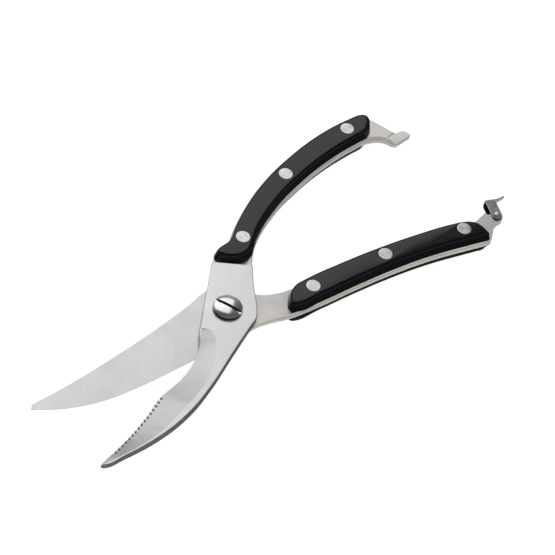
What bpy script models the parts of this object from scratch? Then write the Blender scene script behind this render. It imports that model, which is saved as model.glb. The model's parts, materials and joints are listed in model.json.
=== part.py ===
"""Poultry shears: two jointed steel arms, riveted black handle scales, a hidden opening
spring at the pivot, and a swinging latch bail that hooks the closed handles together.

All sizes are in millimetres in the pivot frame: the pivot axis is Z, the plane in which
the two blades slide on each other is z = 0, +X runs along the bisector of the open handles.
One empty moves the whole assembly so that its origin is the middle of its underside.
"""
import math

import bmesh
import bpy
import numpy as np
from mathutils import Matrix, Vector

MM = 0.001

# ---------------------------------------------------------------- driving dimensions (mm)
ARM_T = 4.0                    # thickness of both forged arms
HALF_GAP = 0.15                # each blade's inner face stands this far off the shear plane
FIT = 0.25                     # gap between pieces that rest on each other
BORE_FIT = 0.15                # radial clearance of a fixed pin or rivet in its bore
RUN_FIT = 0.08                 # radial clearance where a piece turns on a pin
TANG_TOP = -HALF_GAP           # both handle tangs lie in the plane of the rear arm
TANG_MID = TANG_TOP - ARM_T / 2
TANG_BOTTOM = TANG_TOP - ARM_T
SCALE_T = 4.55                 # thickness of a handle scale
SCALE_LEAN = 0.2               # inward lean of its walls, per mm of height
SCALE_ROUND = 1.7              # rounding between its wall and its flat face
SCALE_FACE = TANG_TOP + FIT + SCALE_T
HOOK_T = 3.3                   # the hook and the latch lug are forged thinner than the tang
EDGE_DROP = 0.45               # worn-off edge of the arms' outer faces
CLOSE_ANGLE = 22.3             # the front arm turns this far from open to latched, degrees

RIVET_HEAD_R = 3.4
RIVET_HEAD_T = 1.3
RIVET_SHANK_R = 2.0
RIVET_CORE_R = 1.15
RIVET_SINK_R = RIVET_HEAD_R + 0.18
UPPER_RIVETS = [(33.3, 26.0), (75.1, 42.3), (118.3, 46.0)]
LOWER_RIVETS = [(40.0, -13.3), (79.8, -19.2), (120.4, -29.8)]

PIVOT_R = 3.0
SCREW_HEAD_R = 6.6
SCREW_HEAD_RIM = 0.9
SCREW_DOME = 1.35
SCREW_SLOT_W = 1.5
SCREW_SLOT_DEPTH = 1.25
SCREW_SLOT_ANGLE = 109.2
THREAD_R = 2.5
WASHER_R = 5.3
WASHER_T = 0.8
NUT_R = 5.2
NUT_T = 2.2

SPRING_POCKET_R = 7.3
SPRING_POCKET_DEPTH = 1.6
SPRING_COIL_R = 5.3
SPRING_WIRE_R = 0.42
SPRING_TURNS = 2.25
SPRING_PITCH = 0.98
STOP_R = 9.9                   # radius of the stop pin's place from the pivot
STOP_ANGLE = -100.0
STOP_PIN_R = 1.1
STOP_SLOT_DEPTH = 1.7

LATCH_PIN = (142.4, -31.0)
LATCH_ANGLE = 66.0             # direction of the open bail, from +X
LUG_R = 2.9
LATCH_PIN_R = 1.05
LATCH_HEAD_R = 1.6
BAIL_SHEET = 0.7
BAIL_INNER = 4.0               # inside height between the cheeks
BAIL_REACH = 9.85              # from the pin to the outside of the web
BAIL_END_R = 2.1
BAIL_HALF_W = 2.35


# ---------------------------------------------------------------- outlines (mm)
# A point with a third entry is a sharp corner; the others are joined by smooth curves.
UPPER_INNER = [(40, 23.4), (60, 31.9), (80, 36.6), (100, 39.0), (118, 39.1)]
UPPER_OUTER = [(124, 51.1), (105, 52.1), (85, 50.2), (65, 46.1), (48, 40.1), (35, 33.7)]
LOWER_INNER = [(40, -7.2), (60, -9.9), (80, -13.5), (100, -18.1), (119, -23.6)]
LOWER_OUTER = [(120, -36.5), (100, -30.3), (80, -25.8), (60, -22.5), (40, -19.8)]

UPPER_SCALE = (UPPER_INNER
               + [(125, 38.9), (130, 41.5), (133.2, 47.2), (131.4, 49.5)]
               + UPPER_OUTER
               + [(26.6, 28.9), (21.5, 28.9), (16.9, 26.8), (19.4, 21.7), (25, 17.9), (30.5, 17.5),
                  (35, 19.8)])
LOWER_SCALE = (LOWER_INNER
               + [(125.8, -26.6), (129.1, -30), (129.9, -34), (129.3, -39.4, 1), (125, -38.1)]
               + LOWER_OUTER
               + [(26.5, -17.6), (24.7, -15.5), (27.2, -10.9), (33.5, -7.2)])

# Ground bevel of each blade: a point of the cutting edge, the opposite point of the bevel's
# inner border on the face, and the height and inset of the edge wall that is left there.
FRONT_GRIND = [((-15.2, 0.6), (-16.7, -1.5), 3.8, 0.3), ((-18.5, -2.5), (-14.2, -4.4), 3.55, 0.5),
               ((-21.3, -5.7), (-15.2, -9.0), 3.05, 0.5), ((-25, -9), (-18.2, -13), 2.2, 0.4),
               ((-33, -13.2), (-27.4, -20.4), 0.9, 0.3), ((-43, -15.7), (-39, -26), 0.4, 0.25),
               ((-54, -17.1), (-52.5, -29.4), 0.4, 0.25), ((-66, -21.3), (-65, -32), 0.4, 0.25),
               ((-79, -24.9), (-78, -32.5), 0.4, 0.25), ((-90, -27.1), (-90, -31.2), 0.4, 0.25),
               ((-97, -28.4), (-97.5, -30.2), 0.5, 0.25), ((-101, -29.2), (-101, -29.9), 0.6, 0.2)]
REAR_GRIND = [((-104, 11.2), (-104, 12.6), 0.6, 0.2), ((-99, 8.3), (-98, 11.8), 0.5, 0.25),
              ((-88, 1.6), (-86, 9), 0.4, 0.25), ((-74, -3.8), (-71, 7.2), 0.4, 0.25),
              ((-56, -7.3), (-55, 6.4), 0.4, 0.25), ((-38, -9.3), (-37.5, 4.7), 0.4, 0.25),
              ((-26, -10.5), (-24.5, -0.5), 0.8, 0.4), ((-19, -11.8), (-17, -6.5), 2.2, 0.6),
              ((-13, -12.9), (-12, -12), 3.9, 0.3)]

FRONT_ARM = ([(-16, -0.1)]
             + [row[0] for row in FRONT_GRIND[1:-2]]
             + [(-96.4, -28.2), (-98.2, -29.5), (-97.2, -30.8), (-88, -32.4), (-70, -33.9),
                (-52, -32.4), (-35, -27.7), (-15, -19.9), (2, -13.3), (7, -11.5), (11, -7.6),
                (17, 0.6), (24, 9.3), (30, 15.4), (35, 19.8)]
             + UPPER_INNER
             + [(125.4, 38.3), (131.8, 34.8), (134.8, 28.6, 1), (144.5, 28.6, 1),
                (143.9, 31.6), (142.3, 32.9), (140, 33.2), (138.7, 34.3), (137.6, 38),
                (135.9, 44), (134.5, 47.2), (131.4, 49.5)]
             + UPPER_OUTER
             + [(25.5, 28.9), (20.5, 28.7), (15.4, 26), (11, 22.5), (0, 13.3), (-8, 6.6)])
REAR_ARM = ([(-100.4, 12.7, 1), (-102.1, 11, 1)]
            + [row[0] for row in REAR_GRIND[1:-2]]
            + [(-18, -12), (-9, -13.3), (-1, -12.7), (5, -11.7), (13, -13.1), (25, -17.1)]
            + LOWER_OUTER[::-1]
            + [(125, -38.2), (129.7, -39.8, 1), (134.2, -36.6), (138, -33.2),
               (139.3, -29.6), (138.9, -26.6, 1), (134.6, -27.2), (130.6, -27.6), (126, -26.4)]
            + LOWER_INNER[::-1]
            + [(31, -6), (25, -3.8), (20, -0.7), (17.2, 2.6), (14.2, 8), (9, 13.2), (1, 15),
               (-9, 13.7), (-24, 12.4), (-44, 11.5), (-64, 11.2), (-84, 11.6)])

TOOTH_START = (-54.7, -17.3)   # serrations of the front blade's edge
TOOTH_COUNT = 16
TOOTH_PITCH = 2.38
TOOTH_R = 0.6                  # each is a ball-shaped scallop, open to the edge
TOOTH_INSET = 0.25
BLADE_TAPER_START = -48.0      # both blades thin towards the tip from here
BLADE_TAPER_END = -100.0
BLADE_TIP_T = 0.58             # tip thickness as a share of the arm's

JOGGLE_NORMAL = Vector((0.669, 0.743, 0.0))   # across the front arm's downward joggle
JOGGLE_START = 25.6
JOGGLE_END = 28.8
JOGGLE_DROP = ARM_T + 2 * HALF_GAP

STEEL = ((0.62, 0.62, 0.62), 0.30, 1.0)
POLISHED = ((0.78, 0.78, 0.79), 0.14, 1.0)
SPRING_STEEL = ((0.45, 0.45, 0.46), 0.35, 1.0)
BLACK_POM = ((0.022, 0.021, 0.024), 0.32, 0.0)
SPUN = ((0.74, 0.73, 0.72), 0.25, 1.0)


# ---------------------------------------------------------------- scene helpers
def clear_scene():
    for item in list(bpy.data.objects):
        bpy.data.objects.remove(item, do_unlink=True)


def new_collection(name):
    group = bpy.data.collections.new(name)
    bpy.context.scene.collection.children.link(group)
    return group


def material(name, finish):
    colour, roughness, metallic = finish
    made = bpy.data.materials.new(name)
    made.use_nodes = True
    shader = made.node_tree.nodes["Principled BSDF"]
    shader.inputs["Base Color"].default_value = (*colour, 1.0)
    shader.inputs["Roughness"].default_value = roughness
    shader.inputs["Metallic"].default_value = metallic
    return made


def link(obj, group, parent=None):
    for old in list(obj.users_collection):
        old.objects.unlink(obj)
    group.objects.link(obj)
    if parent:
        obj.parent = parent
    return obj


def add_part(name, mesh, finish, parent, smooth_angle=35.0):
    """Make a named part from a mesh that is in the parent's frame."""
    mesh.name = name
    mesh.materials.clear()
    mesh.materials.append(material(name + "_finish", finish))
    mesh.shade_smooth()
    mesh.set_sharp_from_angle(angle=math.radians(smooth_angle))
    return link(bpy.data.objects.new(name, mesh), PARTS, parent)


def add_empty(name, location, parent=None):
    empty = bpy.data.objects.new(name, None)
    empty.location = Vector(location) * MM
    empty.empty_display_size = 0.01
    return link(empty, PARTS, parent)


def mesh_from_bmesh(bm, name="shape"):
    mesh = bpy.data.meshes.new(name)
    bm.to_mesh(mesh)
    bm.free()
    return mesh


# ---------------------------------------------------------------- solids
def outline_mesh(knots, z0, z1, resolution=5):
    """Plate between two heights, bounded by a closed curve through the knots."""
    curve = bpy.data.curves.new("outline", "CURVE")
    curve.dimensions = "2D"
    curve.fill_mode = "BOTH"
    curve.resolution_u = resolution
    curve.extrude = (z1 - z0) / 2 * MM
    spline = curve.splines.new("BEZIER")
    spline.bezier_points.add(len(knots) - 1)
    spline.use_cyclic_u = True
    for point, knot in zip(spline.bezier_points, knots):
        point.co = (knot[0] * MM, knot[1] * MM, 0.0)
        kind = "VECTOR" if len(knot) > 2 else "AUTO"
        point.handle_left_type = kind
        point.handle_right_type = kind
    holder = link(bpy.data.objects.new("outline", curve), CUTTERS)
    bpy.context.view_layer.update()
    depsgraph = bpy.context.evaluated_depsgraph_get()
    mesh = bpy.data.meshes.new_from_object(holder.evaluated_get(depsgraph))
    bpy.data.objects.remove(holder, do_unlink=True)
    bm = bmesh.new()
    bm.from_mesh(mesh)
    bmesh.ops.remove_doubles(bm, verts=bm.verts, dist=0.002 * MM)
    bmesh.ops.translate(bm, verts=bm.verts, vec=(0, 0, (z0 + z1) / 2 * MM))
    bmesh.ops.recalc_face_normals(bm, faces=bm.faces)
    return mesh_from_bmesh(bm)


def outline_points(knots, resolution=4):
    """The closed curve through the knots as an array of points (mm), counter-clockwise."""
    plate = outline_mesh(knots, 0.0, 1.0, resolution)
    bm = bmesh.new()
    bm.from_mesh(plate)
    low = [v for v in bm.verts if v.co.z < 0.5 * MM]
    start = low[0]
    loop = [start]
    previous = None
    here = start
    while True:
        step = [e.other_vert(here) for e in here.link_edges
                if e.other_vert(here).co.z < 0.5 * MM
                and any(abs(f.normal.z) < 0.5 for f in e.link_faces)]
        ahead = [v for v in step if v is not previous][0]
        if ahead is start:
            break
        loop.append(ahead)
        previous, here = here, ahead
    points = np.array([(v.co.x / MM, v.co.y / MM) for v in loop])
    bm.free()
    x, y = points.T
    area = np.sum(x * np.roll(y, -1) - y * np.roll(x, -1))
    return points if area > 0 else points[::-1]


def inset_ring(points, distance):
    """Move a closed loop inwards in small steps, spreading its points so that none cross."""
    ring = points.copy()
    steps = max(1, int(round(distance / 0.1)))
    for _ in range(steps):
        ahead = np.roll(ring, -1, axis=0)
        behind = np.roll(ring, 1, axis=0)
        along = ahead - behind
        along /= np.linalg.norm(along, axis=1)[:, None]
        inward = np.stack([-along[:, 1], along[:, 0]], axis=1)
        spread = (ahead + behind) / 2 - ring
        spread = along * np.sum(spread * along, axis=1)[:, None]
        ring = ring + inward * (distance / steps) + 0.35 * spread
    return ring


def ring_solid(rings):
    """Solid through closed rings of equal point count, listed from bottom to top."""
    bm = bmesh.new()
    rows = []
    for points, height in rings:
        rows.append([bm.verts.new((p[0] * MM, p[1] * MM, height * MM)) for p in points])
    count = len(rows[0])
    for low, high in zip(rows, rows[1:]):
        for i in range(count):
            j = (i + 1) % count
            bm.faces.new((low[i], low[j], high[j], high[i]))
    caps = [bm.faces.new(rows[0][::-1]), bm.faces.new(rows[-1])]
    bm.normal_update()
    bmesh.ops.triangulate(bm, faces=caps)
    bmesh.ops.recalc_face_normals(bm, faces=bm.faces)
    return mesh_from_bmesh(bm)


def cylinder_mesh(radius, z0, z1, centre=(0.0, 0.0), sides=28):
    bm = bmesh.new()
    place = Matrix.Translation(Vector((centre[0], centre[1], (z0 + z1) / 2)) * MM)
    bmesh.ops.create_cone(bm, cap_ends=True, segments=sides, radius1=radius * MM,
                          radius2=radius * MM, depth=(z1 - z0) * MM, matrix=place)
    return mesh_from_bmesh(bm)


def box_mesh(size, centre, turn=0.0):
    bm = bmesh.new()
    place = (Matrix.Translation(Vector(centre) * MM) @ Matrix.Rotation(math.radians(turn), 4, "Z")
             @ Matrix.Diagonal((size[0] * MM, size[1] * MM, size[2] * MM, 1.0)))
    bmesh.ops.create_cube(bm, size=1.0, matrix=place)
    return mesh_from_bmesh(bm)


def turned_mesh(profile, steps=32):
    """Solid of revolution; the profile runs down its outer side at +X, from axis to axis."""
    bm = bmesh.new()
    verts = [bm.verts.new((r * MM, 0.0, z * MM)) for r, z in profile]
    for a, b in zip(verts, verts[1:]):
        bm.edges.new((a, b))
    holder = link(bpy.data.objects.new("turned", mesh_from_bmesh(bm)), CUTTERS)
    screw = holder.modifiers.new("turn", "SCREW")
    screw.steps = steps
    screw.render_steps = steps
    screw.use_merge_vertices = True
    screw.merge_threshold = 0.00001
    screw.use_smooth_shade = False
    mesh = evaluated_mesh(holder)
    bm = bmesh.new()
    bm.from_mesh(mesh)
    bmesh.ops.remove_doubles(bm, verts=bm.verts, dist=0.002 * MM)
    bmesh.ops.recalc_face_normals(bm, faces=bm.faces)
    return mesh_from_bmesh(bm)


def evaluated_mesh(obj):
    bpy.context.view_layer.update()
    depsgraph = bpy.context.evaluated_depsgraph_get()
    mesh = bpy.data.meshes.new_from_object(obj.evaluated_get(depsgraph))
    bpy.data.objects.remove(obj, do_unlink=True)
    return mesh


def combine(base, others, operation):
    """Exact Boolean of a mesh with each of the others in turn."""
    holder = link(bpy.data.objects.new("base", base), CUTTERS)
    for other in others:
        tool = link(bpy.data.objects.new("tool", other), CUTTERS)
        tool.hide_render = True
        tool.display_type = "WIRE"
        step = holder.modifiers.new("cut", "BOOLEAN")
        step.operation = operation
        step.solver = "EXACT"
        step.object = tool
        mesh = evaluated_mesh(holder)
        bpy.data.objects.remove(tool, do_unlink=True)
        bm = bmesh.new()
        bm.from_mesh(mesh)
        bmesh.ops.remove_doubles(bm, verts=bm.verts, dist=0.001 * MM)
        holder = link(bpy.data.objects.new("base", mesh_from_bmesh(bm)), CUTTERS)
    mesh = holder.data.copy()
    bpy.data.objects.remove(holder, do_unlink=True)
    return mesh


def cut(base, *tools):
    return combine(base, tools, "DIFFERENCE")


def join(base, *tools):
    return combine(base, tools, "UNION")


def slice_and_shift(mesh, normal, cuts, shift):
    """Cut a mesh along parallel planes, then move each of its points by shift(point)."""
    bm = bmesh.new()
    bm.from_mesh(mesh)
    for distance in cuts:
        geometry = list(bm.verts) + list(bm.edges) + list(bm.faces)
        bmesh.ops.bisect_plane(bm, geom=geometry, dist=0.0005 * MM,
                               plane_co=normal * distance * MM, plane_no=normal)
    bmesh.ops.triangulate(bm, faces=[f for f in bm.faces if len(f.verts) > 4])
    for vert in bm.verts:
        vert.co.z = shift(vert.co / MM) * MM
    bmesh.ops.triangulate(bm, faces=[f for f in bm.faces if not flat(f)])
    return mesh_from_bmesh(bm)


def flat(face):
    centre = face.calc_center_median()
    return all(abs((v.co - centre).dot(face.normal)) < 0.0005 * MM for v in face.verts)


# ---------------------------------------------------------------- blade grinding
def smooth_rows(rows, per_span=3):
    """Catmull-Rom points through rows of numbers."""
    table = np.array([[*edge, *border, height, inset] for edge, border, height, inset in rows])
    padded = np.vstack([2 * table[0] - table[1], table, 2 * table[-1] - table[-2]])
    made = []
    for i in range(1, len(padded) - 2):
        a, b, c, d = padded[i - 1:i + 3]
        for t in np.arange(per_span) / per_span:
            made.append(0.5 * (2 * b + (c - a) * t + (2 * a - 5 * b + 4 * c - d) * t ** 2
                               + (3 * b - a - 3 * c + d) * t ** 3))
    made.append(table[-1])
    return made


def grind_mesh(rows, face_z, side):
    """What the grinder takes off a blade. face_z is the ground face's height, side is +1 where
    that face looks up; the cutting edge lies in the blade's other face."""
    bm = bmesh.new()
    sections = []
    for ex, ey, bx, by, height, inset in smooth_rows(rows):
        edge = np.array([ex, ey])
        border = np.array([bx, by])
        width = max(np.linalg.norm(border - edge), 0.05)
        across = (border - edge) / width
        foot = edge + across * min(inset, 0.4 * width)
        foot_z = face_z - side * (ARM_T - height)
        beyond = edge - across * 2.0
        slope = (face_z - foot_z) / max(np.linalg.norm(border - foot), 0.05)
        over = border + across * 0.6
        points = [(beyond, foot_z - side * 0.15),
                  (foot, foot_z),
                  (border, face_z),
                  (over, face_z + slope * 0.6 if abs(slope) < 6 else face_z + side * 2.0),
                  (over, face_z + side * 5.0),
                  (beyond, face_z + side * 5.0)]
        sections.append([bm.verts.new((p[0] * MM, p[1] * MM, z * MM)) for p, z in points])
    for near, far in zip(sections, sections[1:]):
        for i in range(len(near)):
            j = (i + 1) % len(near)
            bm.faces.new((near[i], near[j], far[j], far[i]))
    bm.faces.new(sections[0])
    bm.faces.new(sections[-1][::-1])
    bmesh.ops.triangulate(bm, faces=bm.faces)
    bmesh.ops.recalc_face_normals(bm, faces=bm.faces)
    return mesh_from_bmesh(bm)


# ---------------------------------------------------------------- arms
def plate_with_worn_edge(knots, low, high, face_up):
    """Forged plate whose outer face has a small rounded-off edge; the inner face is sharp."""
    points = outline_points(knots, 5)
    soft = [(points, EDGE_DROP), (inset_ring(points, EDGE_DROP * 0.3), EDGE_DROP * 0.3),
            (inset_ring(points, EDGE_DROP), 0.0)]
    if face_up:
        rings = [(points, low)] + [(ring, high - drop) for ring, drop in soft]
    else:
        rings = [(ring, low + drop) for ring, drop in soft[::-1]] + [(points, high)]
    return ring_solid(rings)


def taper_share(x):
    """Blade thickness at x as a share of the arm's."""
    along = (BLADE_TAPER_START - x) / (BLADE_TAPER_START - BLADE_TAPER_END)
    along = min(max(along, 0.0), 1.1)
    return 1.0 - (1.0 - BLADE_TIP_T) * along ** 1.2


def joggle_drop(point):
    """How far the front arm has stepped down at a point, with softly bent corners."""
    along = (Vector((point.x, point.y, 0.0)).dot(JOGGLE_NORMAL) - JOGGLE_START)
    along = min(max(along / (JOGGLE_END - JOGGLE_START), 0.0), 1.0)
    bent = along * along * (3 - 2 * along)
    return JOGGLE_DROP * (0.55 * along + 0.45 * bent)


def tooth_places():
    """Points along the front blade's edge, one per serration."""
    edge = [row[0] for row in FRONT_GRIND if row[0][0] < TOOTH_START[0]]
    line = np.array([TOOTH_START] + edge)
    reach = np.concatenate([[0.0], np.cumsum(np.linalg.norm(np.diff(line, axis=0), axis=1))])
    walked = np.arange(TOOTH_COUNT) * TOOTH_PITCH
    return [(np.interp(s, reach, line[:, 0]), np.interp(s, reach, line[:, 1])) for s in walked]


def tooth_balls():
    """Ball-shaped cutters, one per serration, that break out through the cutting edge."""
    places = np.array(tooth_places())
    along = np.gradient(places, axis=0)
    profile = [(TOOTH_R * math.sin(math.radians(a)), TOOTH_R * math.cos(math.radians(a)))
               for a in (30, 60, 90, 120, 150)]
    profile = [(0, TOOTH_R)] + profile + [(0, -TOOTH_R)]
    made = []
    for (x, y), (dx, dy) in zip(places, along):
        reach = TOOTH_INSET / math.hypot(dx, dy)
        ball = moved(turned_mesh(profile, 10), (x - dy * reach, y + dx * reach))
        ball.transform(Matrix.Translation((0, 0, (HALF_GAP + 0.5) * MM)))
        made.append(ball)
    return made


def arc_slot_mesh(radius, half_width, start, end, z0, z1):
    """Round-ended slot that follows an arc about the pivot, angles in degrees."""
    points = []
    a0, a1 = math.radians(start), math.radians(end)
    for t in np.linspace(a0, a1, 7):
        points.append(((radius + half_width) * math.cos(t), (radius + half_width) * math.sin(t)))
    for t in np.linspace(0, math.pi, 7)[1:-1]:
        points.append((radius * math.cos(a1) + half_width * math.cos(a1 + t),
                       radius * math.sin(a1) + half_width * math.sin(a1 + t)))
    for t in np.linspace(a1, a0, 7):
        points.append(((radius - half_width) * math.cos(t), (radius - half_width) * math.sin(t)))
    for t in np.linspace(math.pi, 2 * math.pi, 7)[1:-1]:
        points.append((radius * math.cos(a0) + half_width * math.cos(a0 + t),
                       radius * math.sin(a0) + half_width * math.sin(a0 + t)))
    return ring_solid([(np.array(points), z0), (np.array(points), z1)])


def rivet_bores(places, radius, z0, z1):
    return [cylinder_mesh(radius, z0, z1, place, 24) for place in places]


def build_front_arm(parent):
    low, high = HALF_GAP, HALF_GAP + ARM_T
    mesh = plate_with_worn_edge(FRONT_ARM, low, high, True)
    mesh = cut(mesh, grind_mesh(FRONT_GRIND, high, 1))
    mesh = cut(mesh, *tooth_balls())
    stations = [BLADE_TAPER_START + (BLADE_TAPER_END - BLADE_TAPER_START) * i / 6
                for i in range(7)]
    mesh = slice_and_shift(mesh, Vector((1, 0, 0)), stations,
                           lambda p: low + (p.z - low) * taper_share(p.x))
    bends = [JOGGLE_START + (JOGGLE_END - JOGGLE_START) * i / 6 for i in range(7)]
    mesh = slice_and_shift(mesh, JOGGLE_NORMAL, bends, lambda p: p.z - joggle_drop(p))
    mesh = cut(mesh, cylinder_mesh(PIVOT_R + RUN_FIT, -1, high + 1, sides=36),
               cylinder_mesh(SPRING_POCKET_R, -1, HALF_GAP + SPRING_POCKET_DEPTH, sides=36))
    clear = math.degrees(0.12 / STOP_R)
    mesh = cut(mesh, arc_slot_mesh(STOP_R, STOP_PIN_R + BORE_FIT, STOP_ANGLE - clear,
                                   STOP_ANGLE + CLOSE_ANGLE + clear, -1.0,
                                   HALF_GAP + STOP_SLOT_DEPTH))
    mesh = cut(mesh, *rivet_bores(UPPER_RIVETS, RIVET_SHANK_R + BORE_FIT,
                                  TANG_BOTTOM - 1, TANG_TOP + 1))
    for side in (-1, 1):
        centre_z = TANG_MID + side * (HOOK_T / 2 + 2.0)
        mesh = cut(mesh, box_mesh((14.0, 7.6, 4.0), (141.3, 30.4, centre_z), 4.0))
    return add_part("front_arm", mesh, STEEL, parent, 28.0)


def build_rear_arm(parent):
    mesh = plate_with_worn_edge(REAR_ARM, TANG_BOTTOM, TANG_TOP, False)
    mesh = cut(mesh, grind_mesh(REAR_GRIND, TANG_BOTTOM, -1))
    stations = [BLADE_TAPER_START + (BLADE_TAPER_END - BLADE_TAPER_START) * i / 6
                for i in range(7)]
    mesh = slice_and_shift(mesh, Vector((1, 0, 0)), stations,
                           lambda p: TANG_TOP + (p.z - TANG_TOP) * taper_share(p.x))
    arc = [(LATCH_PIN[0] + LUG_R * math.cos(math.radians(a)),
            LATCH_PIN[1] + LUG_R * math.sin(math.radians(a))) for a in range(-110, 111, 20)]
    lug = np.array([(135.0, -34.4)] + arc + [(135.0, -28.0)])
    mesh = join(mesh, ring_solid([(lug, TANG_MID - HOOK_T / 2), (lug, TANG_MID + HOOK_T / 2)]))
    mesh = cut(mesh, cylinder_mesh(PIVOT_R + RUN_FIT, TANG_BOTTOM - 1, 1, sides=36),
               cylinder_mesh(SPRING_POCKET_R, -HALF_GAP - SPRING_POCKET_DEPTH, 1, sides=36),
               cylinder_mesh(STOP_PIN_R + BORE_FIT, -3.15, 1, stop_place(), 20),
               cylinder_mesh(LATCH_PIN_R + RUN_FIT, TANG_BOTTOM - 1, 1, LATCH_PIN, 24))
    mesh = cut(mesh, *rivet_bores(LOWER_RIVETS, RIVET_SHANK_R + BORE_FIT,
                                  TANG_BOTTOM - 1, TANG_TOP + 1))
    return add_part("rear_arm", mesh, STEEL, parent, 28.0)


# ---------------------------------------------------------------- handles
def scale_mesh(knots, places):
    """Front scale: leaning walls, a rounded border, a flat face, counterbored for rivets."""
    foot = outline_points(knots, 4)
    wall = SCALE_T - SCALE_ROUND
    rings = [(foot, 0.0), (inset_ring(foot, SCALE_LEAN * wall), wall)]
    for degrees in (30, 60, 90):
        turn = math.radians(degrees)
        inset = SCALE_LEAN * wall + SCALE_ROUND * (1 - math.cos(turn)) + 0.1 * degrees / 90
        rings.append((inset_ring(foot, inset), wall + SCALE_ROUND * math.sin(turn)))
    mesh = ring_solid([(points, z + TANG_TOP + FIT) for points, z in rings])
    floor = SCALE_FACE - RIVET_HEAD_T - FIT
    bore = RIVET_SHANK_R + BORE_FIT
    profile = [(0, SCALE_FACE + 1), (RIVET_SINK_R, SCALE_FACE + 1), (RIVET_SINK_R, floor),
               (bore, floor), (bore, TANG_TOP - 1), (0, TANG_TOP - 1)]
    return cut(mesh, *[moved(turned_mesh(profile, 24), place) for place in places])


def mirrored(mesh, name):
    """Copy of a mesh mirrored through the middle plane of the tangs."""
    bm = bmesh.new()
    bm.from_mesh(mesh)
    for vert in bm.verts:
        vert.co.z = 2 * TANG_MID * MM - vert.co.z
    bmesh.ops.reverse_faces(bm, faces=bm.faces)
    return mesh_from_bmesh(bm, name)


def moved(mesh, place):
    mesh.transform(Matrix.Translation(Vector((place[0], place[1], 0.0)) * MM))
    return mesh


def front_rivet(place):
    """Hollow half of a cutler's rivet, its turned head flush with the scale."""
    top = SCALE_FACE
    profile = [(0, top), (2.3, top), (2.42, top - 0.12), (2.62, top - 0.12), (2.74, top),
               (3.28, top), (RIVET_HEAD_R, top - 0.12), (RIVET_HEAD_R, top - RIVET_HEAD_T),
               (RIVET_SHANK_R, top - RIVET_HEAD_T), (RIVET_SHANK_R, TANG_MID + 0.15),
               (RIVET_CORE_R + 0.15, TANG_MID + 0.15), (RIVET_CORE_R + 0.15, TANG_MID + 3.2),
               (0, TANG_MID + 3.2)]
    return moved(turned_mesh(profile, 24), place)


def back_rivet(place):
    """Solid half of a cutler's rivet; its core reaches up into the hollow half."""
    bottom = 2 * TANG_MID - SCALE_FACE
    profile = [(0, TANG_MID + 2.9), (RIVET_CORE_R, TANG_MID + 2.9),
               (RIVET_CORE_R, TANG_MID - 0.15), (RIVET_SHANK_R, TANG_MID - 0.15),
               (RIVET_SHANK_R, bottom + RIVET_HEAD_T), (RIVET_HEAD_R, bottom + RIVET_HEAD_T),
               (RIVET_HEAD_R, bottom + 0.12), (3.28, bottom), (0, bottom)]
    return moved(turned_mesh(profile, 24), place)


def build_handle(name, knots, places, parent):
    front = scale_mesh(knots, places)
    add_part(name + "_back_scale", mirrored(front, name), BLACK_POM, parent, 30.0)
    add_part(name + "_front_scale", front, BLACK_POM, parent, 30.0)
    for number, place in enumerate(places, 1):
        add_part(f"{name}_rivet_{number}_front", front_rivet(place), SPUN, parent)
        add_part(f"{name}_rivet_{number}_back", back_rivet(place), SPUN, parent)


# ---------------------------------------------------------------- pivot
def stop_place():
    turn = math.radians(STOP_ANGLE)
    return (STOP_R * math.cos(turn), STOP_R * math.sin(turn))


def build_pivot(parent):
    seat = HALF_GAP + ARM_T + FIT
    rim = seat + SCREW_HEAD_RIM
    washer_top = TANG_BOTTOM - FIT
    nut_top = washer_top - WASHER_T - FIT
    nut_low = nut_top - NUT_T
    dome = [(SCREW_HEAD_R * math.cos(math.radians(a)) * 0.985,
             rim + 0.08 + SCREW_DOME * math.sin(math.radians(a))) for a in (75, 60, 45, 30, 15)]
    profile = ([(0, rim + 0.08 + SCREW_DOME)] + dome
               + [(SCREW_HEAD_R - 0.1, rim + 0.08), (SCREW_HEAD_R, rim), (SCREW_HEAD_R, seat),
                  (PIVOT_R, seat), (PIVOT_R, washer_top + 0.4), (THREAD_R, washer_top + 0.1),
                  (THREAD_R, nut_low - 0.4), (THREAD_R - 0.4, nut_low - 0.8),
                  (0, nut_low - 0.8)])
    slot = box_mesh((20, SCREW_SLOT_W, 4), (0, 0, rim + SCREW_DOME - SCREW_SLOT_DEPTH + 2.0),
                    SCREW_SLOT_ANGLE)
    add_part("pivot_screw", cut(turned_mesh(profile, 36), slot), POLISHED, parent)

    washer = cut(cylinder_mesh(WASHER_R, washer_top - WASHER_T, washer_top, sides=32),
                 cylinder_mesh(PIVOT_R + BORE_FIT, -9, 0, sides=28))
    add_part("pivot_washer", washer, STEEL, parent)
    nut = cut(cylinder_mesh(NUT_R, nut_low, nut_top, sides=6),
              cylinder_mesh(THREAD_R + BORE_FIT, -12, 0, sides=28))
    add_part("pivot_nut", nut, STEEL, parent)

    pin_low = -3.0
    pin = [(0, 1.35), (STOP_PIN_R - 0.2, 1.35), (STOP_PIN_R, 1.15), (STOP_PIN_R, pin_low),
           (0, pin_low)]
    add_part("stop_pin", moved(turned_mesh(pin, 20), stop_place()), STEEL, parent)


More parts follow.
